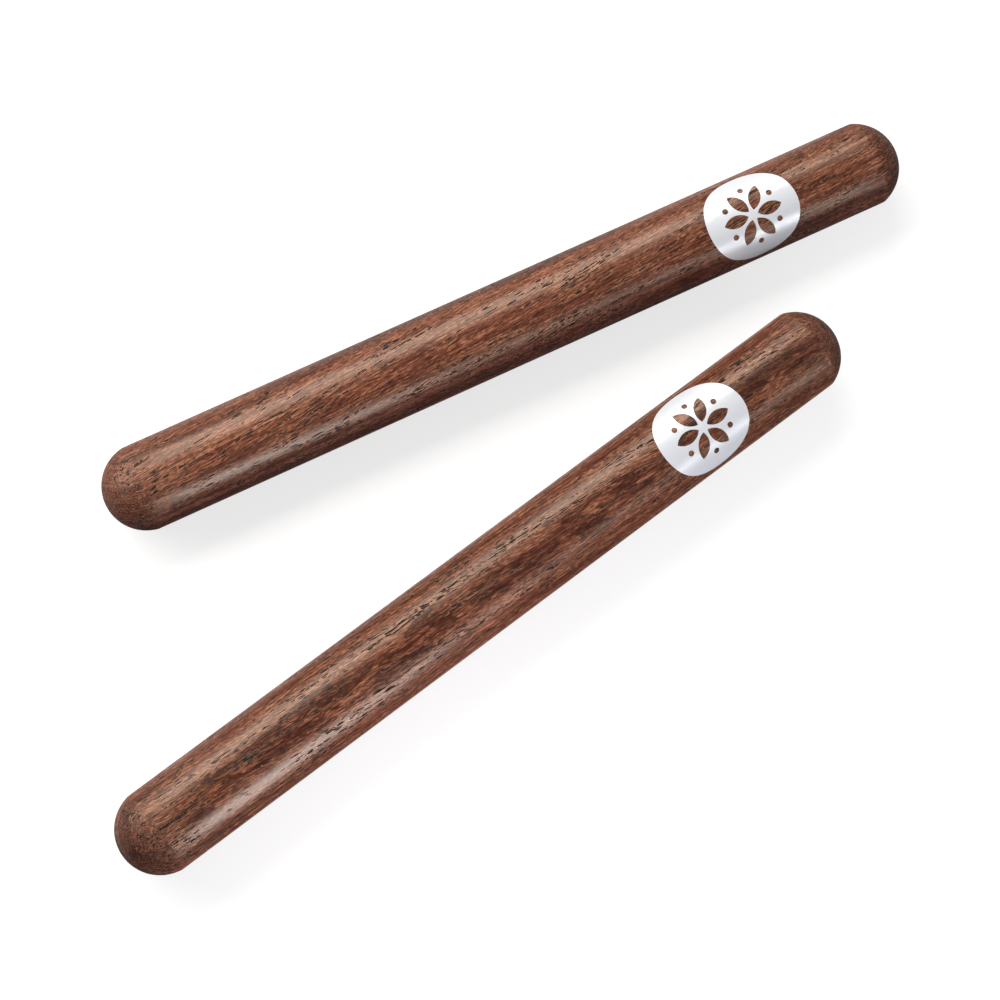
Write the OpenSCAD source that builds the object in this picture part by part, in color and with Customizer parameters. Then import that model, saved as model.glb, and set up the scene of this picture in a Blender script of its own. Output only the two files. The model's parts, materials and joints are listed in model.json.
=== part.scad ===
// A pair of claves: two turned hardwood sticks with domed ends, each with a
// round metallic foil label wrapped onto its barrel. They lie side by side on
// a flat surface, splayed like a V, with the labelled ends close together.
// All lengths are in millimetres, +Z is up and the held stick lies along +X.

/* [Sticks] */
// Length of each stick from tip to tip
stick_len = 203; // [150:1:280]
// Diameter of the straight barrel
barrel_d = 20; // [16:0.5:30]
// Turn of the surface at the edge where the dome of the plain end begins
butt_edge_angle = 8; // [3:1:40]
// Turn of the surface at the edge where the flatter dome of the labelled end begins
tip_edge_angle = 18; // [3:1:40]
// Radius that sanding leaves on both of those edges
edge_r = 2; // [0.5:0.1:5]

/* [Labels] */
// Diameter of each round label before it is wrapped onto the barrel
label_d = 23; // [10:0.5:24]
// Thickness of the foil
label_t = 0.08; // [0.05:0.01:0.3]
// Distance from the held stick's labelled tip to the centre of its label
held_label_from_tip = 40.5; // [25:0.5:75]
// Distance from the striker's labelled tip to the centre of its label
striker_label_from_tip = 41.5; // [25:0.5:75]
// Turn of the held stick's label about the barrel, from straight up towards the striker
held_label_turn = 18; // [-45:1:45]
// Turn of the striker's label about the barrel, from straight up to the same side
striker_label_turn = 12; // [-45:1:45]

/* [Layout] */
// Angle between the two sticks
splay = 11.8; // [1:0.1:40]
// Free gap from the flank of the held stick to the nearest point of the striker
tip_gap = 15.2; // [2:0.1:60]
// How far the labelled end of the striker lies back from that of the held stick
tip_setback = 34.7; // [0:0.1:80]

/* [Hidden] */
$fn = 96;
edge_steps = 4;
dome_steps = 24;
label_step = 5;

wood = "#7b4637";
foil = "#dfe3e8";

barrel_r = barrel_d / 2;

// Each dome is part of a sphere whose centre lies on the axis.
function dome_r(edge_angle) = barrel_r / cos(edge_angle);

// Distance along the axis from the centre of that sphere to the end of the
// straight wall, where the rounding that joins the wall to the dome begins.
function wall_past_centre(sphere_r) =
    sqrt(pow(sphere_r - edge_r, 2) - pow(barrel_r - edge_r, 2));

// Turn of the surface over the rounding, from the wall to the dome.
function rounding_angle(sphere_r) = atan2(wall_past_centre(sphere_r), barrel_r - edge_r);

// How far a stick reaches from its middle in a direction at this angle to its
// axis, past the end whose dome has this radius.
function reach(sphere_r, angle) =
    let (centre_at = stick_len / 2 - sphere_r)
    angle < 90 - rounding_angle(sphere_r)
        ? centre_at * cos(angle) + sphere_r
        : (centre_at + wall_past_centre(sphere_r)) * cos(angle)
            + (barrel_r - edge_r) * sin(angle) + edge_r;

// Outline of one end as [distance from the axis, distance from the middle]:
// round the edge from the end of the wall, then over the dome to its tip.
function end_outline(sphere_r) =
    let (
        centre_at = stick_len / 2 - sphere_r,
        wall_end = centre_at + wall_past_centre(sphere_r),
        turn = rounding_angle(sphere_r)
    )
    [
        for (i = [0 : edge_steps])
            let (a = turn * i / edge_steps)
            [barrel_r - edge_r + edge_r * cos(a), wall_end + edge_r * sin(a)],
        for (i = [1 : dome_steps])
            let (a = turn + (90 - turn) * i / dome_steps)
            [sphere_r * cos(a), centre_at + sphere_r * sin(a)]
    ];

butt_r = dome_r(butt_edge_angle);
tip_r = dome_r(tip_edge_angle);

// Middle of the striker, seen from the middle of the held stick.
striker_x = stick_len / 2 - tip_setback - reach(tip_r, splay);
striker_y = -barrel_r - tip_gap - reach(tip_r, 90 - splay);

// The origin is the middle of the pair's box, on the surface that they lie on.
box_low_x = min(-stick_len / 2, striker_x - reach(butt_r, splay));
box_low_y = striker_y - reach(butt_r, 90 - splay);
held_middle = [
    -(box_low_x + stick_len / 2) / 2,
    -(box_low_y + barrel_r) / 2,
    barrel_r
];
striker_middle = held_middle + [striker_x, striker_y, 0];

// One stick along +X, with its middle on the origin and its labelled end at +X.
module stick() {
    tip_end = end_outline(tip_r);
    butt_end = end_outline(butt_r);

    color(wood)
        rotate([0, 90, 0])
            rotate_extrude()
                polygon(concat(
                    tip_end,
                    [for (i = [len(butt_end) - 1 : -1 : 0]) [butt_end[i].x, -butt_end[i].y]]
                ));
}

// Angle at the barrel's axis that a length takes up when it is wrapped round.
function wrap_angle(arc) = arc / barrel_r * 180 / PI;

// One label on such a stick, turned about the barrel from straight up.
module label(from_tip, turn) {
    outline = [
        for (a = [0 : label_step : 359])
            [label_d / 2 * cos(a), barrel_r * sin(wrap_angle(label_d / 2 * sin(a)))]
    ];

    color(foil)
        translate([stick_len / 2 - from_tip, 0, 0])
            rotate([turn, 0, 0])
                intersection() {
                    rotate([0, 90, 0])
                        difference() {
                            cylinder(r = barrel_r + label_t, h = 2 * label_d, center = true);
                            cylinder(r = barrel_r, h = 3 * label_d, center = true);
                        }
                    linear_extrude(barrel_d)
                        polygon(outline);
                }
}

module held_stick() {
    translate(held_middle)
        stick();
}

module held_label() {
    translate(held_middle)
        label(held_label_from_tip, held_label_turn);
}

module striker_stick() {
    translate(striker_middle)
        rotate(splay)
            stick();
}

module striker_label() {
    translate(striker_middle)
        rotate(splay)
            label(striker_label_from_tip, striker_label_turn);
}

held_stick();
held_label();
striker_stick();
striker_label();
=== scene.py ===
"""The finish of a pair of claves: lacquered hardwood sticks with wrapped foil labels."""
import json
import math

import bpy
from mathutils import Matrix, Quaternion, Vector

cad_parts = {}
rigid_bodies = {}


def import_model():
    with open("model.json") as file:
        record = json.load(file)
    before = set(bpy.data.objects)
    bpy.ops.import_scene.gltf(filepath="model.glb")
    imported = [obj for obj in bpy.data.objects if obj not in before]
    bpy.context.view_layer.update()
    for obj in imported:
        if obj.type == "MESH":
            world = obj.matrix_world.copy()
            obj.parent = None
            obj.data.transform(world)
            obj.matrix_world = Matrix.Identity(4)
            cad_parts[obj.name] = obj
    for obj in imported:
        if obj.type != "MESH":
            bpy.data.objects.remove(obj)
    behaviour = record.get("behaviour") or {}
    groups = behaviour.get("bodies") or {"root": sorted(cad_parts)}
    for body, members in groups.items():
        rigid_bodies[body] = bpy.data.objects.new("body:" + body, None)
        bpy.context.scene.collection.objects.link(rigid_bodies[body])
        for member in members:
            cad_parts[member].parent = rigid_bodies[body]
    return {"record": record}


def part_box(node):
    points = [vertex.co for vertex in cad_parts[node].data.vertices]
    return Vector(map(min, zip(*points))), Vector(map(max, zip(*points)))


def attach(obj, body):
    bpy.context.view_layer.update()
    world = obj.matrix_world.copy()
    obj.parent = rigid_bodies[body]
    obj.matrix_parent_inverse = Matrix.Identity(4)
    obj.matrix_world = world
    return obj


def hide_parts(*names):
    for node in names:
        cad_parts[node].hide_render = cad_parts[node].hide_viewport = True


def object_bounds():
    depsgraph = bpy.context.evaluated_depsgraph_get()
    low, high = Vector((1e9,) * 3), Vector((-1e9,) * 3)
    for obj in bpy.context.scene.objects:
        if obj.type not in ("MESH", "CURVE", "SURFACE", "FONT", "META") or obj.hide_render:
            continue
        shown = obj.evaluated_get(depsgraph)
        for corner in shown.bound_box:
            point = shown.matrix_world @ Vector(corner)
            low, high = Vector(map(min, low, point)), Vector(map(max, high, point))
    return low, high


MM = 0.001

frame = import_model()
cad_low, cad_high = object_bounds()
mounts = {mount["name"]: mount for mount in frame["record"]["mounts"]}

# ---------------------------------------------------------------- measures

EDGE_ROUNDING = 2 * MM        # left by sanding where each dome meets the wall
SIDES = 224                   # facets round a stick
WALL_STEP = 1.2 * MM
EDGE_STEPS = 6
DOME_STEPS = 26
SANDING_PASSES = 6
SEAM_WELD = 0.002 * MM        # joins the first and the last section of the turned stick

LABEL_DIAMETER = 23 * MM      # of the foil before it is wrapped
FOIL_THICKNESS = 0.07 * MM
GLUE_THICKNESS = 0.01 * MM
RIM_SIDES = 180
STRIP = 0.5 * MM              # width of the facets that let the foil bend round the wood

PETALS = 6
PETAL_START = 1.2 * MM        # from the middle of the label
PETAL_LENGTH = 6.2 * MM
PETAL_WIDTH = 2.9 * MM
ARC_SIDES = 96
DOT_RADIUS = 0.7 * MM
DOT_FROM_MIDDLE = 6.6 * MM
DOT_SIDES = 20
CREASE_ANGLE = math.radians(40)   # the foil is smooth below it and sharp at its cut edges


class Stick:
    """Where one stick lies and how large it is, read from the frame."""

    def __init__(self, barrel, label_from_tip, label_turn):
        held_wall = Vector(mounts["held_barrel"]["pos_m"])
        low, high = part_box("held_stick")
        self.butt = held_wall.x - low.x      # from the middle of the wall to each tip,
        self.tip = high.x - held_wall.x      # and both sticks are turned to one pattern
        self.radius = mounts[barrel]["dims"]["r_mm"] * MM
        self.half_wall = mounts[barrel]["dims"]["length_mm"] * MM / 2
        self.middle = Vector(mounts[barrel]["pos_m"])
        axis = Vector(mounts[barrel]["axis"])
        self.angle = math.atan2(axis.y, axis.x)
        self.label_at = self.tip - label_from_tip
        self.label_turn = label_turn


held = Stick("held_barrel", label_from_tip=40.5 * MM, label_turn=math.radians(18))
striker = Stick("striker_barrel", label_from_tip=41.5 * MM, label_turn=math.radians(12))

# ---------------------------------------------------------------- modelling helpers


def only(piece):
    bpy.ops.object.select_all(action="DESELECT")
    piece.select_set(True)
    bpy.context.view_layer.objects.active = piece


def place(piece, angles, location):
    """Turns and moves a piece that was modelled about the origin, in its own mesh."""
    only(piece)
    piece.rotation_euler = angles
    piece.location = location
    bpy.ops.object.transform_apply(location=True, rotation=True, scale=True)


def apply_modifier(piece, kind, **settings):
    only(piece)
    modifier = piece.modifiers.new(kind.lower(), kind)
    for name, value in settings.items():
        setattr(modifier, name, value)
    bpy.ops.object.modifier_apply(modifier=modifier.name)


def edit_all(piece):
    only(piece)
    bpy.ops.object.mode_set(mode="EDIT")
    bpy.ops.mesh.select_all(action="SELECT")


# ---------------------------------------------------------------- the turned sticks

def end_outline(height, radius):
    """Rounded edge and dome of an end, as (past the wall, out from the axis)."""
    rounding = EDGE_ROUNDING
    sphere = (height ** 2 + radius ** 2 - 2 * radius * rounding) / (2 * (height - rounding))
    centre = height - sphere
    turn = math.atan2(-centre, radius - rounding)
    points = []
    for step in range(1, EDGE_STEPS + 1):
        a = turn * step / EDGE_STEPS
        points.append((rounding * math.sin(a), radius - rounding + rounding * math.cos(a)))
    for step in range(1, DOME_STEPS + 1):
        a = turn + (math.pi / 2 - turn) * step / DOME_STEPS
        points.append((centre + sphere * math.sin(a), sphere * math.cos(a)))
    return points


def sanded(outline):
    """Eases every corner of the outline a little, and leaves its two tips."""
    for _ in range(SANDING_PASSES):
        eased = [(a + 2 * b + c) / 4 for a, b, c in zip(outline, outline[1:], outline[2:])]
        outline = [outline[0]] + eased + [outline[-1]]
    return outline


def stick_outline(stick):
    """Half of a stick's long section, from the plain tip to the labelled one."""
    wall = stick.half_wall
    steps = round(2 * wall / WALL_STEP)
    butt = [(-wall - past, out) for past, out in end_outline(stick.butt - wall, stick.radius)]
    tip = [(wall + past, out) for past, out in end_outline(stick.tip - wall, stick.radius)]
    side = [(wall * (2 * step / steps - 1), stick.radius) for step in range(steps + 1)]
    return sanded([Vector((along, 0, out)) for along, out in butt[::-1] + side + tip])


def turn_stick(name, stick):
    """Draws the section as a line of edges, spins it round X and lays the stick down."""
    outline = stick_outline(stick)
    bpy.ops.object.select_all(action="DESELECT")
    bpy.ops.mesh.primitive_plane_add(size=MM)
    piece = bpy.context.object
    piece.name = name
    edit_all(piece)
    bpy.ops.mesh.merge(type="CENTER")
    bpy.ops.transform.translate(value=outline[0])
    for here, there in zip(outline, outline[1:]):
        bpy.ops.mesh.extrude_region_move(TRANSFORM_OT_translate={"value": there - here})
    bpy.ops.mesh.select_all(action="SELECT")
    bpy.ops.mesh.spin(steps=SIDES, angle=2 * math.pi, axis=(1, 0, 0), center=(0, 0, 0))
    bpy.ops.mesh.select_all(action="SELECT")
    bpy.ops.mesh.remove_doubles(threshold=SEAM_WELD)
    bpy.ops.mesh.normals_make_consistent(inside=False)
    bpy.ops.object.mode_set(mode="OBJECT")
    bpy.ops.object.shade_smooth()
    place(piece, (0, 0, stick.angle), stick.middle)
    return piece


# ---------------------------------------------------------------- the foil labels

FLAT = (math.pi / 2, 0, 0)    # the foil is cut in the XZ plane, face to -Y
CUT_TOLERANCE = 0.001 * MM
POINT_WELD = 0.01 * MM        # joins the two arcs of a petal at their points


def draw_circle(sides, radius, location=(0, 0, 0)):
    bpy.ops.mesh.select_all(action="DESELECT")
    bpy.ops.mesh.primitive_circle_add(
        vertices=sides, radius=radius, rotation=FLAT, location=location)


def draw_petal(turn):
    """Adds the outline of a leaf, two arcs that meet in points, to the flat foil."""
    half_length = PETAL_LENGTH / 2
    half_width = PETAL_WIDTH / 2
    arc_radius = (half_length ** 2 + half_width ** 2) / (2 * half_width)
    draw_circle(ARC_SIDES, arc_radius, (0, 0, half_width - arc_radius))
    bpy.ops.mesh.bisect(
        plane_co=(0, 0, 0), plane_no=(0, 0, 1), clear_inner=True, threshold=CUT_TOLERANCE)
    bpy.ops.mesh.select_linked()
    bpy.ops.mesh.duplicate()
    bpy.ops.transform.rotate(value=math.pi, orient_axis="Y", center_override=(0, 0, 0))
    bpy.ops.mesh.remove_doubles(threshold=POINT_WELD, use_unselected=True)
    bpy.ops.mesh.select_linked()
    bpy.ops.transform.translate(value=(PETAL_START + half_length, 0, 0))
    bpy.ops.transform.rotate(value=turn, orient_axis="Y", center_override=(0, 0, 0))


def draw_dot(turn):
    across = DOT_FROM_MIDDLE * math.cos(turn)
    up = DOT_FROM_MIDDLE * math.sin(turn)
    draw_circle(DOT_SIDES, DOT_RADIUS, (across, 0, up))


def cut_into_strips(half_width):
    """Cuts the foil across at even steps, so that it can follow a curve."""
    steps = round(2 * half_width / STRIP)
    for step in range(1, steps):
        bpy.ops.mesh.select_all(action="SELECT")
        height = half_width * (2 * step / steps - 1)
        bpy.ops.mesh.bisect(
            plane_co=(0, 0, height), plane_no=(0, 0, 1), threshold=CUT_TOLERANCE)


def wrap_label(name, stick):
    """Die-cuts a round foil, bends it round the barrel and thickens it outwards."""
    bpy.ops.object.select_all(action="DESELECT")
    bpy.ops.mesh.primitive_circle_add(vertices=RIM_SIDES, radius=LABEL_DIAMETER / 2)
    piece = bpy.context.object
    piece.name = name
    place(piece, FLAT, (0, 0, 0))
    edit_all(piece)
    for number in range(PETALS):
        turn = 2 * math.pi * number / PETALS
        draw_petal(turn)
        draw_dot(turn + math.pi / PETALS)
    bpy.ops.mesh.select_all(action="SELECT")
    bpy.ops.mesh.fill()
    cut_into_strips(LABEL_DIAMETER / 2)
    bpy.ops.object.mode_set(mode="OBJECT")
    if piece.data.polygons[0].normal.y > 0:
        edit_all(piece)
        bpy.ops.mesh.flip_normals()
        bpy.ops.object.mode_set(mode="OBJECT")

    radius = stick.radius + GLUE_THICKNESS
    bend = LABEL_DIAMETER / radius
    apply_modifier(piece, "SIMPLE_DEFORM", deform_method="BEND", deform_axis="X", angle=bend)
    place(piece, (0, 0, 0), (0, -radius, 0))
    apply_modifier(piece, "SOLIDIFY", thickness=FOIL_THICKNESS, offset=1)
    place(piece, (stick.label_turn - math.pi / 2, 0, 0), (stick.label_at, 0, 0))
    place(piece, (0, 0, stick.angle), stick.middle)
    bpy.ops.object.shade_smooth_by_angle(angle=CREASE_ANGLE)
    return piece


# ---------------------------------------------------------------- shader helpers

class Shader:
    """Adds nodes to a tree. Any input takes a plain value or another node's output."""

    def __init__(self, tree):
        self.tree = tree

    def node(self, kind, inputs=(), **settings):
        node = self.tree.nodes.new(kind)
        for name, value in settings.items():
            setattr(node, name, value)
        for name, value in dict(inputs).items():
            self.feed(node.inputs[name], value)
        return node

    def feed(self, socket, value):
        if isinstance(value, bpy.types.NodeSocket):
            self.tree.links.new(value, socket)
        else:
            socket.default_value = value

    def math(self, operation, *values):
        node = self.node("ShaderNodeMath", operation=operation)
        for socket, value in zip(node.inputs, values):
            self.feed(socket, value)
        return node.outputs["Value"]

    def vector(self, operation, *values):
        node = self.node("ShaderNodeVectorMath", operation=operation)
        for socket, value in zip(node.inputs, values):
            self.feed(socket, value)
        return node.outputs["Vector"]

    def fade(self, value, start, end, low=0.0, high=1.0):
        """Goes smoothly from low to high as the value goes from start to end."""
        inputs = {"Value": value, "From Min": start, "From Max": end, "To Min": low, "To Max": high}
        node = self.node("ShaderNodeMapRange", inputs, interpolation_type="SMOOTHSTEP")
        return node.outputs["Result"]

    def stretch(self, position, along, across):
        """Scales a position for a pattern of features 1/along long and 1/across wide."""
        return self.vector("MULTIPLY", position, (along, across, across))

    def scaled(self, vector, factor):
        node = self.node("ShaderNodeVectorMath", {"Scale": factor}, operation="SCALE")
        self.feed(node.inputs[0], vector)
        return node.outputs["Vector"]

    def turn(self, position, angle):
        """Turns a position about Z."""
        inputs = {"Vector": position, "Angle": angle}
        node = self.node("ShaderNodeVectorRotate", inputs, rotation_type="Z_AXIS")
        return node.outputs["Vector"]

    def noise(self, position, detail=2.0, roughness=0.5, distortion=0.0):
        inputs = {"Vector": position, "Scale": 1.0, "Detail": detail, "Roughness": roughness,
                  "Distortion": distortion}
        return self.node("ShaderNodeTexNoise", inputs)

    def layers(self, distance, frequency, detail=2.0, roughness=0.5):
        """Noise that changes only with the distance, as growth layers do."""
        inputs = {"W": distance, "Scale": frequency, "Detail": detail, "Roughness": roughness}
        return self.node("ShaderNodeTexNoise", inputs, noise_dimensions="1D").outputs["Fac"]

    def blend(self, factor, first, second, mode="MIX"):
        node = self.node("ShaderNodeMix", data_type="RGBA", blend_type=mode)
        self.feed(node.inputs["Factor"], factor)
        self.feed(node.inputs[6], first)
        self.feed(node.inputs[7], second)
        return node.outputs[2]

    def ramp(self, value, stops):
        """A colour ramp through these (place, colour) stops."""
        node = self.node("ShaderNodeValToRGB", {"Fac": value})
        elements = node.color_ramp.elements
        elements[0].position, elements[0].color = stops[0]
        elements[1].position, elements[1].color = stops[-1]
        for place_on_ramp, colour in stops[1:-1]:
            elements.new(place_on_ramp).color = colour
        return node.outputs["Color"]


def start_group(name, inputs, outputs):
    """An empty shader group with these sockets: {name: (kind, default)} and {name: kind}."""
    group = bpy.data.node_groups.new(name, "ShaderNodeTree")
    for socket_name, (kind, default) in inputs.items():
        socket = group.interface.new_socket(socket_name, in_out="INPUT", socket_type=kind)
        socket.default_value = default
    for socket_name, kind in outputs.items():
        group.interface.new_socket(socket_name, in_out="OUTPUT", socket_type=kind)
    shader = Shader(group)
    return shader, shader.node("NodeGroupInput").outputs, shader.node("NodeGroupOutput")


def start_material(name):
    material = bpy.data.materials.new(name)
    material.use_nodes = True
    shader = Shader(material.node_tree)
    surface = material.node_tree.nodes["Principled BSDF"]
    return material, shader, surface


# ---------------------------------------------------------------- the wood

FLOAT = "NodeSocketFloat"
VECTOR = "NodeSocketVector"
COLOUR = "NodeSocketColor"

WOOD_TONES = [                # from the darkest streaks to the palest fibre
    (0.00, (0.039, 0.0085, 0.0045, 1)),
    (0.20, (0.070, 0.016, 0.0075, 1)),
    (0.40, (0.110, 0.029, 0.0135, 1)),
    (0.60, (0.155, 0.047, 0.024, 1)),
    (0.80, (0.225, 0.080, 0.043, 1)),
    (1.00, (0.330, 0.145, 0.082, 1)),
]
PORE_COLOUR = (0.011, 0.006, 0.007, 1)
GOLD_COLOUR = (0.420, 0.200, 0.105, 1)
END_GRAIN_TINT = (0.88, 0.88, 0.94, 1)
MIDDLE_TONE = 0.58            # place on the tones where no pattern adds or takes anything
LATE_WOOD = -0.55             # what each kind of dark layer takes from the tone
SHARP_LINE = -0.30
DARK_RING = -0.50
DASH_COVER = 0.80             # how well the short brown dashes cover what lies under them
DASH_EDGE_COVER = 0.20
PORE_EDGE_COVER = 0.22
LACQUER_ROUGHNESS = 0.27
LACQUER_TINT = (1.0, 0.92, 0.76, 1)
RELIEF = 0.03 * MM            # depth of an open pore


def shift(shader, noise, amounts):
    """Turns a noise's three channels into a shift in mm, up to these amounts each way."""
    centred = shader.vector("SUBTRACT", noise, (0.5, 0.5, 0.5))
    return shader.vector("MULTIPLY", centred, tuple(2 * amount for amount in amounts))


def distance_from_pith(shader, given, seeded):
    """How far a point lies from the middle of the tree, wavered as growth layers are."""
    waver = shader.noise(shader.stretch(seeded, 0.016, 0.05)).outputs["Color"]
    fray = shader.noise(shader.stretch(seeded, 0.20, 0.9), 3.0, 0.6).outputs["Color"]
    curl = shader.noise(shader.stretch(seeded, 0.10, 0.45), 3.0, 0.6, 0.6).outputs["Color"]
    waver = shift(shader, waver, (0, 1.6, 1.6))
    fray = shift(shader, fray, (0, 0.22, 0.22))
    curl = shift(shader, curl, (0, 2.4, 2.4))
    axes = shader.node("ShaderNodeSeparateXYZ", {"Vector": given["Position"]}).outputs
    off_middle = shader.math("ABSOLUTE", shader.math("SUBTRACT", axes["Y"], given["Flame Middle"]))
    reach = shader.math("MULTIPLY", shader.fade(off_middle, 3.5, 7.5, 1.0, 0.1), given["Flame"])
    point = given["Position"]
    for part in (waver, fray, shader.scaled(curl, reach)):
        point = shader.vector("ADD", point, part)
    along = axes["X"]
    pith = shader.vector("ADD", given["Pith"], shader.scaled(given["Lean"], along))
    across = shader.vector("MULTIPLY", shader.vector("SUBTRACT", point, pith), (0, 1, 1))
    length = shader.node("ShaderNodeVectorMath", operation="LENGTH")
    shader.feed(length.inputs[0], across)
    return length.outputs["Value"]


def add_strokes(shader, position, along, across, size, share):
    """Short strokes, and paler edges, in this share of cells 1/along by 1/across large."""
    cells = shader.node(
        "ShaderNodeTexVoronoi",
        {"Vector": shader.stretch(position, along, across), "Scale": 1.0, "Randomness": 0.85},
    )
    chance = shader.node("ShaderNodeSeparateColor", {"Color": cells.outputs["Color"]})
    chosen = shader.math("LESS_THAN", chance.outputs["Red"], share)
    radius = shader.math("MULTIPLY_ADD", chance.outputs["Green"], size * 0.7, size * 0.5)
    depth = shader.math("SUBTRACT", 1.0, shader.math("DIVIDE", cells.outputs["Distance"], radius))
    stroke = shader.math("MULTIPLY", shader.fade(depth, 0.0, 0.25), chosen)
    edge = shader.math("MULTIPLY", shader.fade(depth, -0.7, -0.2), chosen)
    return stroke, edge


def growth_rings(shader, distance):
    """Darkens towards the end of each year's growth, and stops sharply there."""
    uneven = shader.layers(distance, 0.25)
    years = shader.math("MULTIPLY_ADD", distance, 0.6, shader.math("MULTIPLY", uneven, 2.5))
    season = shader.math("FRACT", years)
    late = shader.math("MULTIPLY", shader.fade(season, 0.45, 0.95), shader.fade(season, 1.0, 0.94))
    strength = shader.fade(shader.layers(distance, 0.5), 0.35, 0.62)
    return shader.math("MULTIPLY", late, strength)


def vary(shader, tone, parts):
    """Adds each (pattern, weight) to a tone, as its swing about one half times the weight."""
    for pattern, weight in parts:
        tone = shader.math("MULTIPLY_ADD", shader.math("SUBTRACT", pattern, 0.5), weight, tone)
    return tone


def wood_tone(shader, given, distance, seeded, turned, hair):
    """How pale the wood is: layers that follow the growth, then fibre across them."""
    layer = shader.math("ADD", distance, given["Ring Shift"])
    sharp_lines = shader.fade(shader.layers(layer, 2.4), 0.56, 0.64)
    off_ring = shader.math("ABSOLUTE", shader.math("SUBTRACT", distance, given["Dark Ring"]))
    tone = shader.math("MULTIPLY", growth_rings(shader, layer), LATE_WOOD)
    tone = shader.math("MULTIPLY_ADD", sharp_lines, SHARP_LINE, tone)
    tone = shader.math("MULTIPLY_ADD", shader.fade(off_ring, 0.26, 0.08), DARK_RING, tone)
    bands = shader.layers(layer, 0.38)
    lines = shader.layers(layer, 2.0, 3.0, 0.6)
    tone = vary(shader, tone, ((bands, 0.7), (lines, 0.9)))
    tone = shader.math("MULTIPLY_ADD", tone, given["Ring Strength"], MIDDLE_TONE)

    fibre = shader.noise(shader.stretch(turned, 0.025, 1.0), 3.0, 0.65).outputs["Fac"]
    curls = shader.noise(shader.stretch(turned, 0.80, 4.0), 1.0).outputs["Fac"]
    mottle = shader.noise(shader.stretch(seeded, 0.05, 0.22)).outputs["Fac"]
    return vary(shader, tone, ((fibre, 1.2), (hair, 2.2), (curls, 1.5), (mottle, 0.5)))


def heartwood(shader, given, distance):
    """Mask of the dark heartwood, between two distances from the pith."""
    past_start = shader.math("SUBTRACT", distance, given["Heart From"])
    past_end = shader.math("SUBTRACT", distance, given["Heart To"])
    return shader.math(
        "MULTIPLY", shader.fade(past_start, -0.12, 0.12), shader.fade(past_end, 0.12, -0.12))


def open_pores(shader, seeded, turned):
    """Masks of the pores, gathered in rows and clusters, and of their paler edges."""
    clusters = shader.noise(shader.stretch(turned, 0.035, 0.28)).outputs["Fac"]
    rows = shader.noise(shader.stretch(turned, 0.030, 1.0), 1.0).outputs["Fac"]
    share = shader.math(
        "MULTIPLY",
        shader.fade(clusters, 0.40, 0.60, 0.15, 1.0),
        shader.fade(rows, 0.50, 0.60, 0.08, 1.0),
    )
    pores, edge = add_strokes(shader, turned, 0.13, 3.1, 0.52, share)
    small_pores, small_edge = add_strokes(shader, turned, 0.36, 3.9, 0.52, share)
    breaks = shader.noise(shader.stretch(seeded, 1.3, 0.6), 0.0).outputs["Fac"]
    pores = shader.math("MULTIPLY", pores, shader.fade(breaks, 0.36, 0.42))
    return shader.math("MAXIMUM", pores, small_pores), shader.math("MAXIMUM", edge, small_edge)


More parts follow.
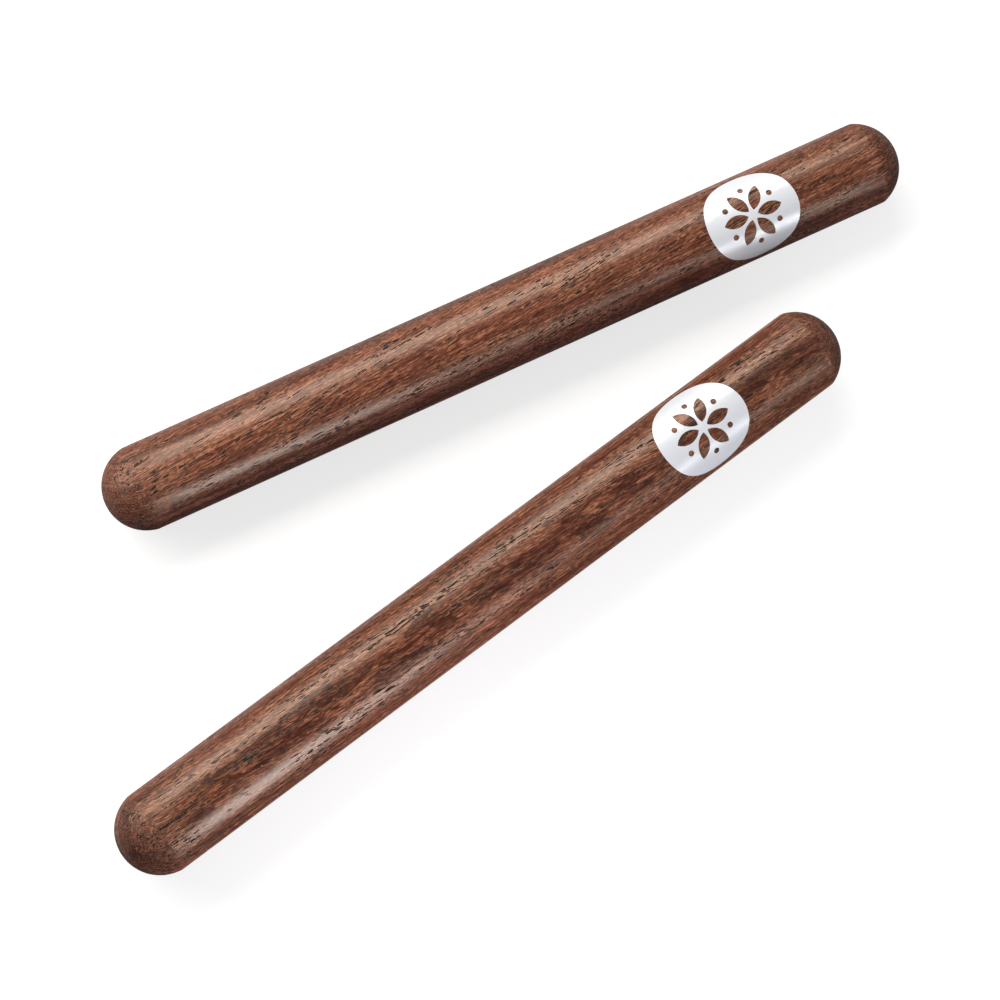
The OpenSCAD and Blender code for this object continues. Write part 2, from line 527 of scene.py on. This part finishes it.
def make_figure_group():
    """Colour and relief of rosewood-type hardwood, at a position in mm with X along it."""
    shader, given, result = start_group(
        "hardwood_figure",
        {
            "Position": (VECTOR, (0, 0, 0)),
            "Seed": (VECTOR, (0, 0, 0)),
            "Pith": (VECTOR, (0, 0, -45)),
            "Lean": (VECTOR, (0, 0, 0)),
            "Ring Shift": (FLOAT, 0.0),
            "Ring Strength": (FLOAT, 1.0),
            "Dark Ring": (FLOAT, 50.0),
            "Heart From": (FLOAT, 0.0),
            "Heart To": (FLOAT, 40.0),
            "Heart Tint": (COLOUR, (0.5, 0.4, 0.5, 1)),
            "Flame": (FLOAT, 0.0),
            "Flame Middle": (FLOAT, 0.0),
            "Fibre Turn": (FLOAT, 0.0),
            "Wall Half": (FLOAT, 90.0),
        },
        {"Color": COLOUR, "Height": FLOAT, "Roughness": FLOAT},
    )
    seeded = shader.vector("ADD", given["Position"], given["Seed"])
    distance = distance_from_pith(shader, given, seeded)
    turned = shader.turn(seeded, given["Fibre Turn"])
    wander = shader.noise(shader.stretch(seeded, 0.18, 0.5), 2.0).outputs["Color"]
    turned = shader.vector("ADD", turned, shift(shader, wander, (0, 0.40, 0.40)))
    hair = shader.noise(shader.stretch(turned, 0.16, 4.2), 2.0, 0.7).outputs["Fac"]
    along = shader.node("ShaderNodeSeparateXYZ", {"Vector": given["Position"]}).outputs["X"]
    past_wall = shader.math("SUBTRACT", shader.math("ABSOLUTE", along), given["Wall Half"])
    end_grain = shader.fade(past_wall, -0.5, 3.5)

    colour = shader.ramp(wood_tone(shader, given, distance, seeded, turned, hair), WOOD_TONES)
    dashes, edge = add_strokes(shader, turned, 0.15, 4.4, 0.44, 0.30)
    colour = shader.blend(shader.math("MULTIPLY", edge, DASH_EDGE_COVER), colour, GOLD_COLOUR)
    colour = shader.blend(shader.math("MULTIPLY", dashes, DASH_COVER), colour, WOOD_TONES[0][1])
    heart = heartwood(shader, given, distance)
    colour = shader.blend(heart, colour, given["Heart Tint"], "MULTIPLY")

    pores, edge = open_pores(shader, seeded, turned)
    colour = shader.blend(shader.math("MULTIPLY", edge, PORE_EDGE_COVER), colour, GOLD_COLOUR)
    pore_ends = add_strokes(shader, seeded, 0.02, 1.8, 0.34, 0.5)[0]
    pores = shader.math("MAXIMUM", pores, shader.math("MULTIPLY", pore_ends, end_grain))
    colour = shader.blend(pores, colour, PORE_COLOUR)
    colour = shader.blend(end_grain, colour, END_GRAIN_TINT, "MULTIPLY")

    tool_marks = shader.layers(along, 1.6, 3.0, 0.7)
    height = shader.math("MULTIPLY_ADD", pores, -1.0, shader.math("MULTIPLY", hair, 0.5))
    height = shader.math("MULTIPLY_ADD", tool_marks, 0.35, height)
    roughness = shader.math("MULTIPLY_ADD", hair, 0.10, LACQUER_ROUGHNESS)
    roughness = shader.math("MULTIPLY_ADD", pores, 0.65, roughness)
    roughness = shader.math("MULTIPLY_ADD", shader.fade(past_wall, -9.0, 2.0), 0.22, roughness)
    shader.feed(result.inputs["Color"], colour)
    shader.feed(result.inputs["Height"], height)
    shader.feed(result.inputs["Roughness"], roughness)
    return shader.tree


def make_wood(name, stick, figure, **values):
    """Satin-lacquered wood whose grain runs along this stick."""
    material, shader, surface = start_material(name)
    coordinates = shader.node("ShaderNodeTexCoord").outputs["Object"]
    position = shader.node(
        "ShaderNodeMapping",
        {
            "Vector": coordinates,
            "Location": stick.middle,
            "Rotation": (0, 0, stick.angle),
            "Scale": (MM, MM, MM),
        },
        vector_type="TEXTURE",
    ).outputs["Vector"]
    wood = shader.node("ShaderNodeGroup", node_tree=figure)
    shader.feed(wood.inputs["Position"], position)
    wood.inputs["Wall Half"].default_value = stick.half_wall / MM
    for socket, value in values.items():
        wood.inputs[socket.replace("_", " ")].default_value = value
    relief = {"Strength": 1.0, "Distance": RELIEF, "Height": wood.outputs["Height"]}
    bump = shader.node("ShaderNodeBump", relief)
    surface.inputs["Specular Tint"].default_value = LACQUER_TINT
    shader.feed(surface.inputs["Base Color"], wood.outputs["Color"])
    shader.feed(surface.inputs["Roughness"], wood.outputs["Roughness"])
    shader.feed(surface.inputs["Normal"], bump.outputs["Normal"])
    return material


# ---------------------------------------------------------------- the foil

FOIL_COLOUR = (0.745, 0.78, 0.815, 1)
FOIL_METALLIC = 0.25
CLOUDS_PER_METRE = 900


def make_foil():
    """Satin silver foil whose shine varies in small clouds."""
    material, shader, surface = start_material("satin_silver_foil")
    coordinates = shader.node("ShaderNodeTexCoord").outputs["Object"]
    position = shader.stretch(coordinates, CLOUDS_PER_METRE, CLOUDS_PER_METRE)
    cloud = shader.noise(position, 3.0).outputs["Fac"]
    surface.inputs["Base Color"].default_value = FOIL_COLOUR
    surface.inputs["Metallic"].default_value = FOIL_METALLIC
    shader.feed(surface.inputs["Roughness"], shader.fade(cloud, 0.3, 0.7, 0.30, 0.38))
    return material


# ---------------------------------------------------------------- finished pieces

def dress(piece, body, node, material):
    """Gives a piece its material, puts it on its body and hides the CAD node that it stands for."""
    piece.data.materials.clear()
    piece.data.materials.append(material)
    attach(piece, body)
    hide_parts(node)


# ---------------------------------------------------------------- floor, lights, camera

def add_softbox(name, location, size, tilt, radiance, colour):
    """A rectangular lamp that faces the origin, turned by tilt about that direction."""
    width, height = size
    lamp = bpy.data.lights.new(name, "AREA")
    lamp.shape = "RECTANGLE"
    lamp.size = width
    lamp.size_y = height
    lamp.energy = radiance * math.pi * width * height
    lamp.color = colour
    softbox = bpy.data.objects.new(name, lamp)
    bpy.context.scene.collection.objects.link(softbox)
    softbox.location = location
    softbox.rotation_mode = "QUATERNION"
    facing = Vector(location).to_track_quat("Z", "Y")
    softbox.rotation_quaternion = facing @ Quaternion((0, 0, 1), tilt)
    softbox.visible_camera = False


FLOOR_SIZE = 6.0
FLOOR_COLOUR = (0.36, 0.36, 0.36, 1)
FLOOR_BOUNCE_COLOUR = (0.06, 0.06, 0.065, 1)   # what the floor throws back on the sticks
FLOOR_GLOW = 0.74
# How much of the floor a mirror-like ray sees when it goes to the back or to the front
FLOOR_SHARE_BEHIND = 0.40
FLOOR_SHARE_IN_FRONT = 0.05
WORLD_LIGHT = 0.25            # on the sticks, while the camera sees plain white


def make_floor():
    """A floor that looks white, keeps a soft shadow and throws little light back."""
    bpy.ops.object.select_all(action="DESELECT")
    bpy.ops.mesh.primitive_plane_add(size=FLOOR_SIZE)
    floor = bpy.context.object
    floor.name = "floor"
    material, shader, surface = start_material("pale_floor")
    path = shader.node("ShaderNodeLightPath").outputs
    incoming = shader.node("ShaderNodeNewGeometry").outputs["Incoming"]
    towards_front = shader.node("ShaderNodeSeparateXYZ", {"Vector": incoming}).outputs["Y"]
    share = shader.fade(towards_front, -0.2, 0.2, FLOOR_SHARE_BEHIND, FLOOR_SHARE_IN_FRONT)
    mirrored = shader.math("MULTIPLY", path["Is Glossy Ray"], share)
    seen = shader.math("MAXIMUM", path["Is Camera Ray"], mirrored)
    colour = shader.blend(seen, FLOOR_BOUNCE_COLOUR, FLOOR_COLOUR)
    glow = shader.math("MULTIPLY", seen, FLOOR_GLOW)
    shader.feed(surface.inputs["Base Color"], colour)
    shader.feed(surface.inputs["Emission Strength"], glow)
    surface.inputs["Roughness"].default_value = 0.9
    surface.inputs["Specular IOR Level"].default_value = 0.0
    surface.inputs["Emission Color"].default_value = (1, 1, 1, 1)
    floor.data.materials.append(material)


def make_world():
    world = bpy.data.worlds.new("studio")
    bpy.context.scene.world = world
    world.use_nodes = True
    shader = Shader(world.node_tree)
    background = world.node_tree.nodes["Background"]
    path = shader.node("ShaderNodeLightPath").outputs
    strength = shader.math("MULTIPLY_ADD", path["Is Camera Ray"], 1 - WORLD_LIGHT, WORLD_LIGHT)
    shader.feed(background.inputs["Strength"], strength)
    background.inputs["Color"].default_value = (1, 1, 1, 1)


CAMERA_AZIMUTH = math.radians(-38.93)           # from straight in front
CAMERA_ELEVATION = math.radians(71.44)
CAMERA_ROLL = math.radians(12.85)
CAMERA_DISTANCE = 0.8952
CAMERA_LENS = 142.52
CAMERA_AIM = Vector((-5.4, -0.7, -0.04)) * MM   # from the middle of the pair's box


def make_camera():
    """Looks down on the pair from beyond the plain end of the striker."""
    target = (cad_low + cad_high) / 2 + CAMERA_AIM
    level = math.cos(CAMERA_ELEVATION)
    back = Vector((
        math.sin(CAMERA_AZIMUTH) * level,
        -math.cos(CAMERA_AZIMUTH) * level,
        math.sin(CAMERA_ELEVATION),
    ))
    camera = bpy.data.objects.new("camera", bpy.data.cameras.new("camera"))
    bpy.context.scene.collection.objects.link(camera)
    camera.data.lens = CAMERA_LENS
    camera.data.clip_start = 0.01
    camera.data.clip_end = 20.0
    camera.location = target + back * CAMERA_DISTANCE
    facing = (-back).to_track_quat("-Z", "Y")
    camera.rotation_mode = "QUATERNION"
    camera.rotation_quaternion = facing @ Quaternion((0, 0, 1), CAMERA_ROLL)
    bpy.context.scene.camera = camera


# ---------------------------------------------------------------- the scene

figure = make_figure_group()
foil = make_foil()
held_stick = turn_stick("held_stick_turned", held)
dress(held_stick, "held", "held_stick", make_wood(
    "held_rosewood", held, figure, Seed=(0, 0, 0), Pith=(0, -39, -22), Lean=(0, 0, 0.03),
    Heart_From=0.0, Heart_To=42.0, Heart_Tint=(0.76, 0.70, 0.86, 1), Fibre_Turn=-0.15,
    Ring_Strength=0.7, Dark_Ring=46.6, Flame=0.1))
striker_stick = turn_stick("striker_stick_turned", striker)
dress(striker_stick, "striker", "striker_stick", make_wood(
    "striker_rosewood", striker, figure, Seed=(300, 90, 40), Pith=(0, 9.4, -44), Lean=(0, 0, 0),
    Heart_From=55.3, Heart_To=62.0, Heart_Tint=(0.50, 0.39, 0.41, 1), Fibre_Turn=0.1,
    Ring_Shift=63.7, Ring_Strength=0.85, Dark_Ring=51.6, Flame=1.0, Flame_Middle=-2.0))
dress(wrap_label("held_label_foil", held), "held", "held_label", foil)
dress(wrap_label("striker_label_foil", striker), "striker", "striker_label", foil)

make_floor()
make_world()
add_softbox("back_softbox", (-0.088, 0.220, 0.228), (0.68, 0.184), -0.3, 6.2, (1.0, 0.96, 0.93))
add_softbox("front_card", (-0.028, -0.150, 0.042), (0.086, 0.060), 0, 10.4, (0.98, 0.93, 1.0))
add_softbox("front_strip", (0.129, -0.499, 0.200), (0.390, 0.050), 0, 7.4, (0.97, 0.98, 1.0))
add_softbox("low_card", (0.035, -0.500, 0.145), (0.07, 0.06), 0, 11.0, (0.98, 0.96, 1.0))
add_softbox("tip_card", (0.145, -0.100, 0.042), (0.05, 0.03), 0, 6.0, (1.0, 0.97, 0.96))
make_camera()
bpy.context.scene.view_settings.view_transform = "Standard"
